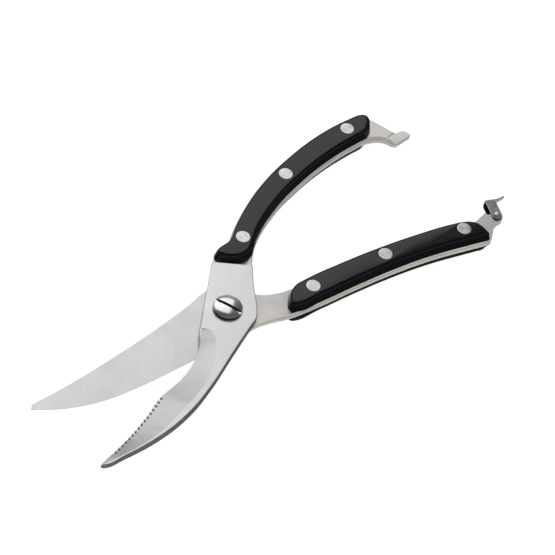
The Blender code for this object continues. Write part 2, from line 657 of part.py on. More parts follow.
def build_spring(parent):
    """Torsion spring round the screw, in the pocket between the arms."""
    curve = bpy.data.curves.new("spring", "CURVE")
    curve.dimensions = "3D"
    curve.bevel_depth = SPRING_WIRE_R * MM
    curve.bevel_resolution = 2
    curve.use_fill_caps = True
    spline = curve.splines.new("POLY")
    start = math.radians(200.0)
    steps = int(SPRING_TURNS * 20)
    path = [(SPRING_POCKET_R - 0.7, start - 0.05, 0.0), (SPRING_COIL_R + 0.5, start - 0.03, 0.0)]
    path += [(SPRING_COIL_R, start + 2 * math.pi * SPRING_TURNS * i / steps, i / steps)
             for i in range(1, steps)]
    end = start + 2 * math.pi * SPRING_TURNS
    path += [(SPRING_COIL_R + 0.5, end + 0.03, 1.0), (SPRING_POCKET_R - 0.7, end + 0.05, 1.0)]
    height = SPRING_TURNS * SPRING_PITCH
    spline.points.add(len(path) - 1)
    for point, (radius, turn, share) in zip(spline.points, path):
        point.co = (radius * math.cos(turn) * MM, radius * math.sin(turn) * MM,
                    (share - 0.5) * height * MM, 1.0)
    holder = link(bpy.data.objects.new("spring", curve), CUTTERS)
    bm = bmesh.new()
    bm.from_mesh(evaluated_mesh(holder))
    bmesh.ops.remove_doubles(bm, verts=bm.verts, dist=0.002 * MM)
    bmesh.ops.recalc_face_normals(bm, faces=bm.faces)
    add_part("torsion_spring", mesh_from_bmesh(bm), SPRING_STEEL, parent, 60.0)


# ---------------------------------------------------------------- latch
def build_latch_pin(parent):
    top = TANG_MID + BAIL_INNER / 2 + BAIL_SHEET + FIT
    low = TANG_MID - BAIL_INNER / 2 - BAIL_SHEET - FIT
    profile = [(0, top + 0.75), (0.8, top + 0.66), (1.35, top + 0.35), (LATCH_HEAD_R, top),
               (LATCH_PIN_R, top), (LATCH_PIN_R, low), (LATCH_HEAD_R, low),
               (1.35, low - 0.35), (0.8, low - 0.66), (0, low - 0.75)]
    add_part("latch_pin", moved(turned_mesh(profile, 24), LATCH_PIN), POLISHED, parent)


def build_bail(parent):
    """Latch bail in its own frame: the pin is the origin and the web is out along +X."""
    top = BAIL_INNER / 2 + BAIL_SHEET
    bend = 1.0
    side = [(-3.0, -top), (BAIL_REACH - bend, -top)]
    side += [(BAIL_REACH - bend + bend * math.sin(math.radians(a)),
              -top + bend - bend * math.cos(math.radians(a))) for a in (30, 60, 90)]
    side += [(x, -z) for x, z in side[:0:-1]] + [(-3.0, top)]
    inner = BAIL_INNER / 2
    reach = BAIL_REACH - BAIL_SHEET
    side += [(-3.0, inner), (reach - 0.35, inner), (reach, inner - 0.35),
             (reach, 0.35 - inner), (reach - 0.35, -inner), (-3.0, -inner)]
    bm = bmesh.new()
    rows = [[bm.verts.new((x * MM, y * MM, z * MM)) for x, z in side] for y in (-4.0, 4.0)]
    for i in range(len(side)):
        j = (i + 1) % len(side)
        bm.faces.new((rows[0][i], rows[0][j], rows[1][j], rows[1][i]))
    bm.faces.new(rows[0][::-1])
    bm.faces.new(rows[1])
    bmesh.ops.triangulate(bm, faces=bm.faces)
    bmesh.ops.recalc_face_normals(bm, faces=bm.faces)
    channel = mesh_from_bmesh(bm)
    ends = [(BAIL_HALF_W * math.cos(math.radians(a)), BAIL_HALF_W * math.sin(math.radians(a)))
            for a in range(90, 271, 15)]
    plan = np.array([(12.0, BAIL_HALF_W)] + ends + [(12.0, -BAIL_HALF_W)])
    channel = combine(channel, [ring_solid([(plan, -6.0), (plan, 6.0)])], "INTERSECT")

    bm = bmesh.new()
    rows = []
    for share in (0.0, 0.16, 0.35, 0.55, 0.75, 0.92, 1.0):
        y = -1.2 - share * 7.4
        middle = BAIL_REACH - BAIL_SHEET / 2 + 1.9 * share ** 1.6
        half_z = 1.6 - 0.75 * share - (0.25 if share == 1.0 else 0.0)
        half_x = 0.31 if share == 0.0 else BAIL_SHEET / 2 - 0.04 * share
        rows.append([bm.verts.new(((middle + dx) * MM, y * MM, dz * MM))
                     for dx, dz in ((-half_x, -half_z), (half_x, -half_z),
                                    (half_x, half_z), (-half_x, half_z))])
    for near, far in zip(rows, rows[1:]):
        for i in range(4):
            j = (i + 1) % 4
            bm.faces.new((near[i], near[j], far[j], far[i]))
    bm.faces.new(rows[0])
    bm.faces.new(rows[-1][::-1])
    bmesh.ops.recalc_face_normals(bm, faces=bm.faces)
    mesh = join(channel, mesh_from_bmesh(bm))
    mesh = cut(mesh, cylinder_mesh(LATCH_PIN_R + RUN_FIT, -6, 6, sides=24))
    mesh.transform(Matrix.Rotation(math.radians(LATCH_ANGLE), 4, "Z"))
    add_part("latch_bail", mesh, POLISHED, parent, 30.0)


# ---------------------------------------------------------------- assembly
clear_scene()
PARTS = new_collection("poultry_shears")
CUTTERS = new_collection("cutters")

datum = add_empty("datum", (0, 0, 0))
front_axis = add_empty("front_arm_axis", (0, 0, 0), datum)
latch_axis = add_empty("latch_axis", (LATCH_PIN[0], LATCH_PIN[1], TANG_MID), datum)

build_rear_arm(datum)
build_front_arm(front_axis)
build_handle("lower", LOWER_SCALE, LOWER_RIVETS, datum)
build_handle("upper", UPPER_SCALE, UPPER_RIVETS, front_axis)
build_pivot(datum)
build_spring(datum)
build_latch_pin(datum)
build_bail(latch_axis)

bpy.context.view_layer.update()
corners = np.array([item.matrix_world @ vert.co for item in PARTS.objects if item.type == "MESH"
                    for vert in item.data.vertices])
middle = (corners.min(axis=0) + corners.max(axis=0)) / 2
datum.location = (-middle[0], -middle[1], -corners[:, 2].min())
bpy.context.view_layer.update()
print("datum", tuple(datum.location), "size", corners.max(axis=0) - corners.min(axis=0))
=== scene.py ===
"""Looks of the poultry shears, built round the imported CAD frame."""

import json
import math

import bmesh
import bpy
import numpy as np
from mathutils import Matrix, Vector
from mathutils.geometry import tessellate_polygon


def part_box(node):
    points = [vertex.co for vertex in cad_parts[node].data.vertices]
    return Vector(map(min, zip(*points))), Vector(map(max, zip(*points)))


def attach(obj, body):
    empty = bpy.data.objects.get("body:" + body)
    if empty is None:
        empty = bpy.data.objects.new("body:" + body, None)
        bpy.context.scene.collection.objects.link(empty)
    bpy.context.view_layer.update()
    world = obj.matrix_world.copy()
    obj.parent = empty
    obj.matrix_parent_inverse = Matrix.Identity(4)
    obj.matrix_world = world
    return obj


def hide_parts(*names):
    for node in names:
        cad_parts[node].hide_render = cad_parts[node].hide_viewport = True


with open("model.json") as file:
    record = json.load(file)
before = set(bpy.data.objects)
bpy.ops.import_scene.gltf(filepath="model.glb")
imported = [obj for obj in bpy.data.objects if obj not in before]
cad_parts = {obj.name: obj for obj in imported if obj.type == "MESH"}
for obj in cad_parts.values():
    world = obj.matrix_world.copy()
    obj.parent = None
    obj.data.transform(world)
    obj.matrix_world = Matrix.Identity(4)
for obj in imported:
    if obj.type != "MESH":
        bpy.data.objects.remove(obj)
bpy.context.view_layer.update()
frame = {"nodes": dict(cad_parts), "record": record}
NODES = frame["nodes"]
JOINTS = {joint["name"]: joint for joint in frame["record"]["behaviour"]["joints"]}
PIVOT = Vector(JOINTS["pivot"]["pos_m"])
LATCH = Vector(JOINTS["latch_swing"]["pos_m"])
MM = 0.001

# ---------------------------------------------------------------- camera (mm, degrees)
CAMERA_FROM_PIVOT = (-626.36, -477.17, 956.30)
CAMERA_AZIMUTH = -54.0
CAMERA_ELEVATION = 49.56
CAMERA_ROLL = 14.27
CAMERA_LENS = 183.3
SENSOR = 36.0

# ---------------------------------------------------------------- surface detail (mm)
GRIND_DEPTH = 0.03
GRAIN_DEPTH = 0.01
RING_DEPTH = 0.006
RING_PHASE = 9500.0            # radians of a rivet's turning rings per metre of radius
SHADE_LINE_CORE = 0.12               # a dark line of painted shade along a wall is full up to here from its height
SHADE_LINE_REACH = 0.34              # and gone from here on


# ---------------------------------------------------------------- node graphs
class Graph:
    """A material's node tree, with short ways to add and link nodes."""

    def __init__(self, name):
        self.material = bpy.data.materials.new(name)
        self.material.use_nodes = True
        self.tree = self.material.node_tree
        self.shader = self.tree.nodes["Principled BSDF"]
        self.coords = self.node("ShaderNodeTexCoord").outputs["Object"]

    def node(self, kind, inputs=None, **settings):
        made = self.tree.nodes.new(kind)
        for key, value in settings.items():
            setattr(made, key, value)
        for key, value in (inputs or {}).items():
            self.put(made.inputs[key], value)
        return made

    def put(self, socket, value):
        if isinstance(value, bpy.types.NodeSocket):
            self.tree.links.new(value, socket)
        else:
            socket.default_value = value

    def set(self, **values):
        for key, value in values.items():
            self.put(self.shader.inputs[key.replace("_", " ")], value)
        return self.material

    def math(self, kind, a, b=0.0, clamp=False):
        made = self.node("ShaderNodeMath", operation=kind, use_clamp=clamp)
        self.put(made.inputs[0], a)
        self.put(made.inputs[1], b)
        return made.outputs[0]

    def placed(self, turn=0.0, scale=(1, 1, 1), shift=(0, 0, 0)):
        """Object coordinates turned about Z (degrees), then stretched (1/m)."""
        turned = self.node("ShaderNodeVectorRotate", {"Vector": self.coords,
                                                      "Angle": math.radians(-turn)},
                           rotation_type="Z_AXIS")
        placed = self.node("ShaderNodeMapping", {"Vector": turned.outputs[0], "Scale": scale,
                                                 "Location": shift})
        return placed.outputs[0]

    def noise(self, vector, scale=1.0, detail=3.0, rough=0.55):
        made = self.node("ShaderNodeTexNoise", {"Vector": vector, "Scale": scale, "Detail": detail,
                                                "Roughness": rough})
        return made.outputs["Fac"]

    def span(self, value, low, high, out_low=0.0, out_high=1.0):
        made = self.node("ShaderNodeMapRange", {"Value": value, "From Min": low, "From Max": high,
                                                "To Min": out_low, "To Max": out_high})
        return made.outputs[0]

    def blend(self, factor, first, second):
        made = self.node("ShaderNodeMix", data_type="RGBA")
        self.put(made.inputs[0], factor)
        self.put(made.inputs[6], first if isinstance(first, bpy.types.NodeSocket) else (*first, 1))
        self.put(made.inputs[7],
                 second if isinstance(second, bpy.types.NodeSocket) else (*second, 1))
        return made.outputs[2]

    def bump(self, height, distance, strength=1.0, normal=None):
        made = self.node("ShaderNodeBump", {"Height": height, "Distance": distance,
                                            "Strength": strength})
        if normal is not None:
            self.put(made.inputs["Normal"], normal)
        return made.outputs[0]


def ground_steel(name, light, dark, turn, rough=0.34, streak=0.5, coarse=0.0, metallic=1.0,
                 shade_line=None):
    """Steel with grind lines in the direction turn (degrees from +X).

    streak is the lines' share of the tone, the rest being clouds; coarse is the wide lines' share
    of the lines; shade_line is the height in metres of a dark line of painted shade along a wall.
    """
    g = Graph(name)
    fine = g.noise(g.placed(turn, (110, 5200, 900)), 1.0, 3.0, 0.6)
    wide = g.noise(g.placed(turn, (45, 900, 300), (3, 7, 1)), 1.0, 2.0, 0.5)
    cloud = g.noise(g.placed(0, (70, 70, 70), (5, 2, 9)), 1.0, 2.0, 0.5)
    lines = g.math("ADD", g.math("MULTIPLY", fine, 1.0 - coarse), g.math("MULTIPLY", wide, coarse))
    tone = g.math("ADD", g.math("MULTIPLY", lines, streak),
                  g.math("MULTIPLY", cloud, 1.0 - streak))
    colour = g.blend(g.span(tone, 0.34, 0.66), dark, light)
    # A dark line of painted shade along the wall, at the given height.
    if shade_line is not None:
        rise = g.node("ShaderNodeSeparateXYZ", {0: g.coords}).outputs[2]
        away = g.math("ABSOLUTE", g.math("SUBTRACT", rise, shade_line))
        colour = g.blend(g.span(away, SHADE_LINE_CORE * MM, SHADE_LINE_REACH * MM, 0.8, 0.0), colour,
                         tuple(0.3 * c for c in dark))
    g.set(Base_Color=colour, Metallic=metallic,
          Roughness=g.span(lines, 0.3, 0.7, rough - 0.05, rough + 0.07),
          Normal=g.bump(lines, GRIND_DEPTH * MM, 0.35))
    return g.material


def plastic(name, base, rough):
    """Moulded black plastic with a faint grain and slow changes of gloss."""
    g = Graph(name)
    grain = g.noise(g.placed(0, (2600, 2600, 2600)), 1.0, 2.0, 0.5)
    cloud = g.noise(g.placed(0, (60, 60, 60), (4, 4, 4)), 1.0, 3.0, 0.6)
    colour = g.blend(g.span(cloud, 0.3, 0.7), base, tuple(1.25 * c for c in base))
    g.shader.inputs["Specular Tint"].default_value = (0.96, 0.93, 1.0, 1.0)
    g.set(Base_Color=colour, Roughness=g.span(cloud, 0.3, 0.7, rough - 0.03, rough + 0.05),
          Normal=g.bump(grain, GRAIN_DEPTH * MM, 0.25))
    return g.material


def polished(name, light, rough):
    """Bright metal with patches that are a little duller."""
    g = Graph(name)
    cloud = g.noise(g.placed(0, (420, 420, 420)), 1.0, 3.0, 0.6)
    colour = g.blend(g.span(cloud, 0.35, 0.65), tuple(0.9 * c for c in light), light)
    g.set(Base_Color=colour, Metallic=1.0,
          Roughness=g.span(cloud, 0.3, 0.7, rough - 0.02, rough + 0.05))
    return g.material


def turned_face(name, centre, light=(0.76, 0.745, 0.735)):
    """Rivet head with turning rings about a centre given in metres."""
    g = Graph(name)
    from_middle = g.node("ShaderNodeVectorMath", {0: g.coords, 1: centre}, operation="SUBTRACT")
    flat = g.node("ShaderNodeVectorMath", {0: from_middle.outputs[0], 1: (1, 1, 0)},
                  operation="MULTIPLY")
    radius = g.node("ShaderNodeVectorMath", {0: flat.outputs[0]}, operation="LENGTH").outputs[1]
    wobble = g.noise(g.placed(0, (900, 900, 900)), 1.0, 2.0, 0.5)
    rings = g.math("SINE", g.math("ADD", g.math("MULTIPLY", radius, RING_PHASE),
                                  g.math("MULTIPLY", wobble, 2.0)))
    tone = g.span(rings, -1.0, 1.0)
    colour = g.blend(tone, tuple(0.86 * c for c in light), light)
    tangent = g.node("ShaderNodeTangent", direction_type="RADIAL", axis="Z")
    g.set(Base_Color=colour, Metallic=1.0, Roughness=g.span(wobble, 0.3, 0.7, 0.22, 0.32),
          Anisotropic=0.75, Tangent=tangent.outputs[0], Normal=g.bump(rings, RING_DEPTH * MM, 0.5))
    return g.material


# ---------------------------------------------------------------- meshes
WELD = 0.00002                 # mm
ROUNDING_STEPS = 2


def cad_bmesh(node):
    """A CAD node's mesh in world coordinates, welded."""
    source = NODES[node]
    bm = bmesh.new()
    bm.from_mesh(source.data)
    bm.transform(source.matrix_world)
    bmesh.ops.remove_doubles(bm, verts=bm.verts, dist=WELD * MM)
    return bm


def to_object(bm, name, smooth=32.0):
    """Object made from a bmesh, smooth below an angle in degrees."""
    mesh = bpy.data.meshes.new(name)
    bm.to_mesh(mesh)
    bm.free()
    made = bpy.data.objects.new(name, mesh)
    bpy.context.scene.collection.objects.link(made)
    mesh.shade_smooth()
    mesh.set_sharp_from_angle(angle=math.radians(smooth))
    return made


def applied(obj):
    """Replace an object's mesh by what its modifiers make of it."""
    depsgraph = bpy.context.evaluated_depsgraph_get()
    mesh = bpy.data.meshes.new_from_object(obj.evaluated_get(depsgraph))
    obj.modifiers.clear()
    obj.data = mesh
    return obj


def soften(obj, width, angle=30.0):
    """Round the edges that are sharper than an angle; width in mm, angle in degrees."""
    bevel = obj.modifiers.new("soften", "BEVEL")
    bevel.width = width * MM
    bevel.segments = ROUNDING_STEPS
    bevel.limit_method = "ANGLE"
    bevel.angle_limit = math.radians(angle)
    bevel.use_clamp_overlap = True
    bevel.harden_normals = True
    bevel.miter_outer = "MITER_ARC"
    return applied(obj)


def cut_away(obj, cutter):
    """Take a cutter's shape out of an object, and drop the cutter."""
    cut = obj.modifiers.new("cut", "BOOLEAN")
    cut.operation = "DIFFERENCE"
    cut.object = cutter
    bpy.context.view_layer.update()
    applied(obj)
    bpy.data.objects.remove(cutter, do_unlink=True)
    return obj


def refined(node, width, merge_angle=0.4, angle=30.0):
    """Copy of a CAD node with its flat faces merged and its edges rounded."""
    bm = cad_bmesh(node)
    bmesh.ops.dissolve_limit(bm, angle_limit=math.radians(merge_angle), verts=bm.verts,
                             edges=bm.edges)
    made = to_object(bm, node + "_look")
    return soften(made, width, angle)


def lathe(name, profile, steps=72, smooth=35.0):
    """Solid of revolution about Z; profile points are (radius, height) in mm."""
    bm = bmesh.new()
    rings = []
    for radius, height in profile:
        if radius < 0.001:              # a point on the axis
            rings.append([bm.verts.new((0, 0, height * MM))])
        else:
            rings.append([bm.verts.new((radius * MM * math.cos(2 * math.pi * i / steps),
                                        radius * MM * math.sin(2 * math.pi * i / steps),
                                        height * MM)) for i in range(steps)])
    for upper, lower in zip(rings, rings[1:]):
        for i in range(steps):
            j = (i + 1) % steps
            face = [upper[i % len(upper)], lower[i % len(lower)], lower[j % len(lower)],
                    upper[j % len(upper)]]
            kept = []
            for vert in face:
                if vert not in kept:
                    kept.append(vert)
            if len(kept) > 2:
                bm.faces.new(kept)
    bmesh.ops.recalc_face_normals(bm, faces=bm.faces)
    return to_object(bm, name, smooth)


def show(obj, node, materials, body=None):
    """Ride a finished piece on its body in place of its CAD node."""
    for material in materials:
        obj.data.materials.append(material)
    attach(obj, body or BODY_OF[node])
    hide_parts(node)
    return obj


BODY_OF = {node: body for body, nodes in frame["record"]["behaviour"]["bodies"].items()
           for node in nodes}

# ---------------------------------------------------------------- materials
GRAIN_BLADE = 49.0
GRAIN_BEVEL = -40.0
FACE = ground_steel("steel_face", (0.86, 0.85, 0.84), (0.81, 0.80, 0.79), 60, 0.36, 0.35)
BLADE = ground_steel("steel_blade", (0.79, 0.775, 0.77), (0.64, 0.625, 0.62), GRAIN_BLADE, 0.34,
                     0.62, 0.4)
BEVEL = ground_steel("steel_bevel", (0.67, 0.665, 0.675), (0.57, 0.565, 0.575), GRAIN_BEVEL, 0.34,
                     0.6, 0.5)
# Walls: beige steel with a dark line of painted shade along them, 1.7 mm below the pivot's origin.
EDGE = ground_steel("steel_edge", (0.74, 0.69, 0.63), (0.58, 0.535, 0.48), 0, 0.5,
                    0.5, 0.3, 0.0, PIVOT.z - 1.7 * MM)
# The wall steel painted dark brown, standing in for a dark reflection on the front arm's blade
# walls.
SPINE_PAINTED_DARK = ground_steel("steel_spine_painted_dark", (0.30, 0.265, 0.24), (0.19, 0.165, 0.15), 0, 0.3, 0.5, 0.3,
                     0.3)
TANG = ground_steel("steel_tang", (0.84, 0.82, 0.80), (0.62, 0.60, 0.585), 30, 0.4, 0.35)
# Near-black painted shade for the serration's scallops and the dimples beside them.
FLUTE_PAINTED_SHADE = ground_steel("steel_flute_painted_shade", (0.10, 0.09, 0.085), (0.05, 0.045, 0.042), 30, 0.3)
BLACK = plastic("handle_plastic", (0.0036, 0.0031, 0.0046), 0.12)
CHROME = polished("latch_chrome", (0.74, 0.755, 0.80), 0.1)
SCREW = polished("screw_chrome", (0.78, 0.78, 0.79), 0.14)
# Near-black painted shade for the screw's slot and rim and the inside of the latch bail.
PAINTED_SHADE_STEEL = polished("steel_painted_shade", (0.09, 0.085, 0.085), 0.3)
PLAIN = ground_steel("plain_steel", (0.62, 0.61, 0.60), (0.5, 0.49, 0.48), 20, 0.35)
WIRE = ground_steel("spring_wire", (0.45, 0.45, 0.46), (0.33, 0.33, 0.34), 0, 0.35)


# ---------------------------------------------------------------- arms
ARM_LOOKS = [FACE, BLADE, BEVEL, EDGE, SPINE_PAINTED_DARK, TANG, FLUTE_PAINTED_SHADE]
IN_FACE, IN_BLADE, IN_BEVEL, IN_EDGE, IN_SPINE_PAINTED_DARK, IN_TANG, IN_FLUTE_PAINTED_SHADE = range(len(ARM_LOOKS))
WALL_STEEP = 0.6               # faces whose normal rises less than this are walls
LEVEL = 0.994                  # and above this they are level
BLADE_END = {"front_arm": 14, "rear_arm": 12}    # where the look changes, along X in mm


def in_pivot_frame(point):
    """World position as mm from the pivot."""
    return (Vector(point) - PIVOT) / MM


def is_ground(normal, middle):
    """True for a face of a blade's ground bevel."""
    return WALL_STEEP <= abs(normal.z) < LEVEL and middle.x < -10


# The serrated stretch of the front blade's edge, in mm round the pivot.
TEETH_LINE = ((-54.7, -17.3), (-66.0, -21.3), (-79.0, -24.9), (-90.6, -27.4))
TEETH = 16
TEETH_PITCH = 2.38
TOOTH_R = 0.6
TOOTH_INSET = 0.25             # from the edge to a scallop's centre
DIMPLE_R = 0.54
DIMPLE_INSET = 0.98            # from the edge to the centre of the dimple beside it
DIMPLE_LIFT = 0.14             # the ball's centre stands this far off the ground face
SHARP_ARM_EDGE = 28            # degrees between faces, from which an edge is rounded
SMOOTH_BELOW = 33              # degrees between faces, up to which shading runs on
SHORTEST_ROUNDED = 0.12


def teeth(inset_by):
    """Centres of the scallops, moved from the edge into the blade, in mm round the pivot."""
    reach = [0.0]
    for a, b in zip(TEETH_LINE, TEETH_LINE[1:]):
        reach.append(reach[-1] + math.dist(a, b))
    centres = []
    for number in range(TEETH):
        at = number * TEETH_PITCH
        k = max(i for i in range(len(reach) - 1) if reach[i] <= at)
        (ax, ay), (bx, by) = TEETH_LINE[k], TEETH_LINE[k + 1]
        length = math.dist(TEETH_LINE[k], TEETH_LINE[k + 1])
        share = (at - reach[k]) / length
        dx, dy = (bx - ax) / length, (by - ay) / length
        centres.append(Vector((ax + share * (bx - ax) - dy * inset_by,
                               ay + share * (by - ay) + dx * inset_by)))
    return centres


def dimple(made):
    """Cut a shallow dimple beside each scallop into the ground face."""
    bm = bmesh.new()
    for centre in teeth(DIMPLE_INSET):
        above = Vector((PIVOT.x + centre.x * MM, PIVOT.y + centre.y * MM, PIVOT.z + 20 * MM))
        hit, point, _, _ = made.ray_cast(above, (0, 0, -1))
        if hit:
            ball = Matrix.Translation(point + Vector((0, 0, DIMPLE_LIFT * MM)))
            bmesh.ops.create_icosphere(bm, subdivisions=2, radius=DIMPLE_R * MM, matrix=ball)
    cutter = to_object(bm, "cutter")
    bm = bmesh.new()
    bm.from_mesh(made.data)
    bmesh.ops.triangulate(bm, faces=bm.faces)
    bm.to_mesh(made.data)
    bm.free()
    for mesh in (made.data, cutter.data):       # cut at a thousand times the size
        mesh.transform(Matrix.Scale(1 / MM, 4))
    cut_away(made, cutter)
    made.data.transform(Matrix.Scale(MM, 4))


def in_tooth(face, centres, radius):
    """True for a face that lies wholly within one scallop or dimple."""
    points = [in_pivot_frame(vert.co).xy for vert in face.verts]
    return any(all((point - centre).length < radius for point in points) for centre in centres)


def arm(node, width):
    """Copy of an arm with its edges rounded, except along the ground bevel."""
    bm = cad_bmesh(node)
    bmesh.ops.dissolve_limit(bm, angle_limit=math.radians(0.08), verts=bm.verts, edges=bm.edges)
    bm.normal_update()
    weight = bm.edges.layers.float.new("bevel_weight_edge")
    for edge in bm.edges:
        if len(edge.link_faces) != 2 or edge.calc_face_angle(0) < math.radians(SHARP_ARM_EDGE):
            continue
        ground = any(is_ground(face.normal, in_pivot_frame(face.calc_center_median()))
                     for face in edge.link_faces)
        if not ground and edge.calc_length() > SHORTEST_ROUNDED * MM:
            edge[weight] = 1.0
    made = to_object(bm, node + "_look")
    bevel = made.modifiers.new("soften", "BEVEL")
    bevel.width = width * MM
    bevel.segments = ROUNDING_STEPS
    bevel.limit_method = "WEIGHT"
    bevel.use_clamp_overlap = True
    applied(made)
    if node == "front_arm":
        dimple(made)
    show(made, node, ARM_LOOKS)
    bm = bmesh.new()
    bm.from_mesh(made.data)
    scallops, dimples = teeth(TOOTH_INSET), teeth(DIMPLE_INSET)
    for face in bm.faces:
        middle = in_pivot_frame(face.calc_center_median())
        face.smooth = True
        serrated = node == "front_arm" and middle.x < -50
        # Faces within a scallop or dimple get near-black painted shade.
        if serrated and (in_tooth(face, scallops, TOOTH_R + 0.03)
                         or in_tooth(face, dimples, DIMPLE_R)):
            face.material_index = IN_FLUTE_PAINTED_SHADE
        elif abs(face.normal.z) < WALL_STEEP:
            # The front arm's walls ahead of BLADE_END get the wall steel painted dark, in place of
            # a dark reflection.
            painted_dark_spine = node == "front_arm" and middle.x < BLADE_END[node]
            face.material_index = IN_SPINE_PAINTED_DARK if painted_dark_spine else IN_EDGE
        elif is_ground(face.normal, middle):
            face.material_index = IN_BEVEL
        elif node == "rear_arm":
            face.material_index = IN_BLADE if middle.x < BLADE_END[node] else IN_TANG
        else:
            face.material_index = IN_FACE
    for edge in bm.edges:
        looks = {face.material_index for face in edge.link_faces}
        ground_apart = len(looks) > 1 and looks & {IN_BEVEL, IN_FLUTE_PAINTED_SHADE}
        edge.smooth = (not ground_apart
                       and edge.calc_face_angle(0) < math.radians(SMOOTH_BELOW))
    bm.to_mesh(made.data)
    bm.free()
    even = made.modifiers.new("even", "WEIGHTED_NORMAL")
    even.keep_sharp = True
    return applied(made)


arm("front_arm", 0.12)
arm("rear_arm", 0.15)


# ---------------------------------------------------------------- handle scales
# Sizes in mm. A scale on the viewed side has side 1, one on the back has side -1.
RIVET_R = 3.4
SCALE_HEIGHT = 4.55
SCALE_FOOT = {1: 0.1, -1: -4.4}            # height of the face that lies on the tang
SCALE_LEAN = {1: 0.2, -1: 0.34}            # inward lean of the wall per mm of height
SCALE_ROUND = {1: 1.7, -1: 2.1}            # rounding between the wall and the flat face
SCALE_CROWN = 0.1                          # how far the rounding runs on into the flat face
SCALE_HEEL = [(0.10, 0.0), (0.03, 0.04), (0.0, 0.12)]    # (inset, height) of the foot's edge
WALL_ROWS = (0.25, 0.5, 0.75, 1.0)
ROUND_ROWS = range(9, 91, 9)               # degrees
OUTLINE_POINTS = 360
OUTLINE_EASING = 12
SINK_R = RIVET_R + 0.14                    # counterbore round a rivet's head
SINK_RIM_R = RIVET_R + 0.30
SINK_DEPTH = 1.5
SHANK_BORE_R = 2.15
SCALE_SHARP = 40                           # degrees between faces, from which shading breaks
SAME_LEVEL = 0.02
INSET_STEP = 0.04
SLIDE = 0.4                                # share of uneven spacing made up at each step
CALM = 0.16                                # share of unevenness across the outline, likewise


def foot_loop(node, height):
    """Outer outline of a scale's foot, as points in mm round the pivot."""
    bm = cad_bmesh(node)

    def at_foot(vert):
        return abs((vert.co.z - PIVOT.z) / MM - height) < SAME_LEVEL

    walls = {}
    for vert in (v for v in bm.verts if at_foot(v)):
        for edge in vert.link_edges:
            other = edge.other_vert(vert)
            if at_foot(other) and any(abs(f.normal.z) < 0.9 for f in edge.link_faces):
                walls.setdefault(vert, []).append(other)
    loops = []
    left = set(walls)
    while left:
        start = max(left, key=lambda v: v.co.x)
        loop = [start]
        previous = None
        here = start
        while True:
            left.discard(here)
            ahead = [v for v in walls[here] if v is not previous and v is not start]
            if not ahead or (len(loop) > 2 and ahead[0] in loop):
                break
            previous, here = here, ahead[0]
            loop.append(here)
        loops.append(loop)
    best = max(loops, key=len)
    points = np.array([((v.co.x - PIVOT.x) / MM, (v.co.y - PIVOT.y) / MM) for v in best])
    bm.free()
    x, y = points.T
    if np.sum(x * np.roll(y, -1) - y * np.roll(x, -1)) < 0:
        points = points[::-1]
    return points


def resampled(points, count):
    """Closed loop with evenly spaced points."""
    closed = np.vstack([points, points[:1]])
    reach = np.concatenate([[0], np.cumsum(np.linalg.norm(np.diff(closed, axis=0), axis=1))])
    at = np.linspace(0, reach[-1], count, endpoint=False)
    return np.stack([np.interp(at, reach, closed[:, 0]), np.interp(at, reach, closed[:, 1])],
                    axis=1)


def eased(points, rounds):
    """Closed loop with its facets smoothed, without shrinking (Taubin's two steps)."""
    for _ in range(rounds):
        for push in (0.5, -0.52):
            middle = (np.roll(points, 1, axis=0) + np.roll(points, -1, axis=0)) / 2
            points = points + push * (middle - points)
    return points


def inset(points, distance):
    """Closed loop moved inwards in small steps that keep its points evenly spread."""
    ring = points.copy()
    steps = max(1, int(round(distance / INSET_STEP)))
    for _ in range(steps):
        ahead = np.roll(ring, -1, axis=0)
        behind = np.roll(ring, 1, axis=0)
        along = ahead - behind
        along /= np.linalg.norm(along, axis=1)[:, None]
        inward = np.stack([-along[:, 1], along[:, 0]], axis=1)
        spread = (ahead + behind) / 2 - ring
        slide = along * np.sum(spread * along, axis=1)[:, None]
        ring = ring + inward * (distance / steps) + SLIDE * slide + CALM * (spread - slide)
    return ring


def scale(node, side, rivets):
    """Handle scale with leaning walls, a rounded border and rivet counterbores."""
    foot_height = SCALE_FOOT[side]
    foot = eased(resampled(foot_loop(node, foot_height), OUTLINE_POINTS), OUTLINE_EASING)
    lean, rounding = SCALE_LEAN[side], SCALE_ROUND[side]
    wall = SCALE_HEIGHT - rounding
    levels = SCALE_HEEL + [(lean * wall * t, wall * t) for t in WALL_ROWS]
    for degrees in ROUND_ROWS:
        turn = math.radians(degrees)
        levels.append((lean * wall + rounding * (1 - math.cos(turn)) + SCALE_CROWN * degrees / 90,
                       wall + rounding * math.sin(turn)))
    bm = bmesh.new()
    rows = []
    for distance, height in levels:
        ring = inset(foot, distance) if distance else foot
        rows.append([bm.verts.new((PIVOT.x + x * MM, PIVOT.y + y * MM,
                                   PIVOT.z + (foot_height + side * height) * MM))
                     for x, y in ring])
    for low, high in zip(rows, rows[1:]):
        for i in range(len(low)):
            j = (i + 1) % len(low)
            bm.faces.new((low[i], low[j], high[j], high[i]))
    for row in (rows[0], rows[-1]):
        for triangle in tessellate_polygon([[vert.co for vert in row]]):
            bm.faces.new([row[i] for i in triangle])
    bmesh.ops.recalc_face_normals(bm, faces=bm.faces)
    made = to_object(bm, node + "_look", SCALE_SHARP)
    top = foot_height + side * SCALE_HEIGHT
    for centre in rivets:
        cutter = lathe("cutter", [(0, 1), (SINK_RIM_R, 1), (SINK_R, -0.12), (SINK_R, -SINK_DEPTH),
                                  (SHANK_BORE_R, -SINK_DEPTH), (SHANK_BORE_R, -9), (0, -9)], 48)
        if side < 0:
            cutter.rotation_euler.x = math.pi
        cutter.location = (centre.x, centre.y, PIVOT.z + top * MM)
        cut_away(made, cutter)
    made.data.shade_smooth()
    made.data.set_sharp_from_angle(angle=math.radians(SCALE_SHARP))
    return show(made, node, [BLACK])


